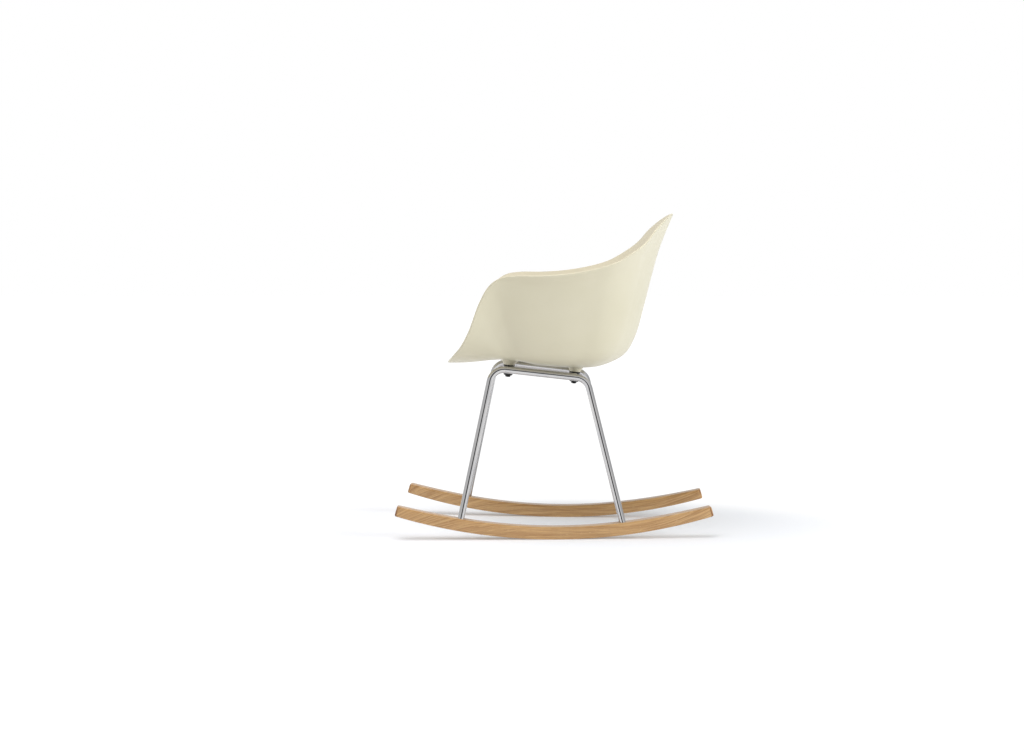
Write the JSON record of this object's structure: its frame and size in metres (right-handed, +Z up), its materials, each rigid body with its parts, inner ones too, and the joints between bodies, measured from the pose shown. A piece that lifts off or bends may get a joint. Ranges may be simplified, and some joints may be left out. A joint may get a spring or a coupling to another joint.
{
  "type": "rocking chair",
  "caption": "Rocking armchair: a moulded plastic tub seat bolted to a bent chromed tube frame with thin cross rods, standing on curved oak rockers.",
  "frame": {"origin": "on the floor, in the middle between the front and rear ends of the two rockers", "axes": "+Z up, the sitter looks along -Y, +X is the sitter's left"},
  "size_m": [0.6124, 0.8192, 0.835],
  "materials": {
    "shell_plastic": "smooth satin moulded plastic, cream",
    "chrome": "bright chrome plating on steel tube",
    "black_nylon": "black moulded nylon",
    "black_steel": "blackened steel bolts",
    "brass": "turned brass, plain",
    "zinc_steel": "zinc plated steel",
    "oak": "clear oiled oak"
  },
  "bodies": {
    "root": {"seat_shell": "shell_plastic", "seat_ring": "chrome", "stretcher_front": "chrome", "stretcher_rear": "chrome", "side_frame_left": "chrome", "side_frame_right": "chrome", "rocker_left": "oak", "rocker_right": "oak", "saddle_front_left": "black_nylon", "saddle_front_right": "black_nylon", "saddle_rear_left": "black_nylon", "saddle_rear_right": "black_nylon", "cup_front_left": "black_nylon", "cup_front_right": "black_nylon", "cup_rear_left": "black_nylon", "cup_rear_right": "black_nylon", "bolt_front_left": "black_steel", "bolt_front_right": "black_steel", "bolt_rear_left": "black_steel", "bolt_rear_right": "black_steel", "insert_front_left": "brass", "insert_front_right": "brass", "insert_rear_left": "brass", "insert_rear_right": "brass", "leg_plug_front_left": "zinc_steel", "leg_plug_front_right": "zinc_steel", "leg_plug_rear_left": "zinc_steel", "leg_plug_rear_right": "zinc_steel", "rocker_screw_front_left": "zinc_steel", "rocker_screw_front_right": "zinc_steel", "rocker_screw_rear_left": "zinc_steel", "rocker_screw_rear_right": "zinc_steel"}
  },
  "joints": []
}
